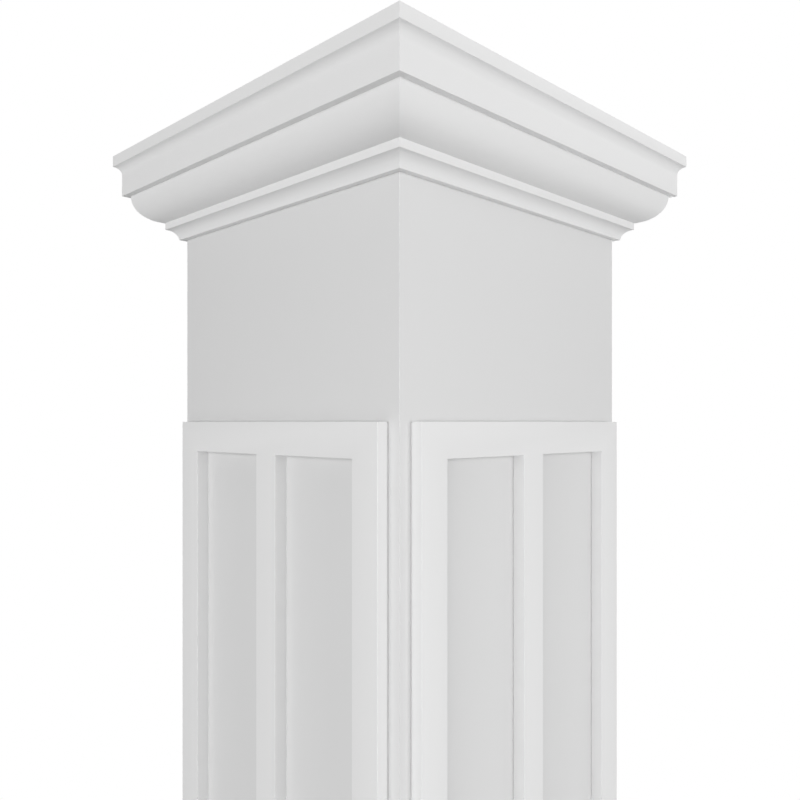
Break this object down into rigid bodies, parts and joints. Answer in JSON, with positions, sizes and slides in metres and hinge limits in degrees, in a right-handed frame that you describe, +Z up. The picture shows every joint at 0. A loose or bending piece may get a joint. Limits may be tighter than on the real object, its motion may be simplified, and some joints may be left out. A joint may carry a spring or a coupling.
{
  "type": "fretwork column",
  "caption": "Square hollow column cover with a moulded crown capital, a raised fretwork frame with a centre bar on each face, and a plain moulded plinth base.",
  "frame": {"origin": "centre of the underside, on the column's axis at floor level", "axes": "+Z up the column; each face of the square shaft looks along X or Y, the front along -Y"},
  "size_m": [0.343, 0.343, 2.4384],
  "materials": {
    "shaft": "smooth satin-matt white PVC board, a shade darker than the trim",
    "capital": "smooth satin-matt white PVC moulding",
    "fretwork": "smooth satin-matt white PVC sheet with routed edges",
    "base": "smooth satin-matt white PVC moulding"
  },
  "bodies": {
    "root": {"shaft_board_front": "shaft", "shaft_board_right": "shaft", "shaft_board_back": "shaft", "shaft_board_left": "shaft", "capital_length_front": "capital", "capital_length_right": "capital", "capital_length_back": "capital", "capital_length_left": "capital", "fretwork_panel_front": "fretwork", "fretwork_panel_right": "fretwork", "fretwork_panel_back": "fretwork", "fretwork_panel_left": "fretwork", "base_length_front": "base", "base_length_right": "base", "base_length_back": "base", "base_length_left": "base"}
  },
  "joints": []
}
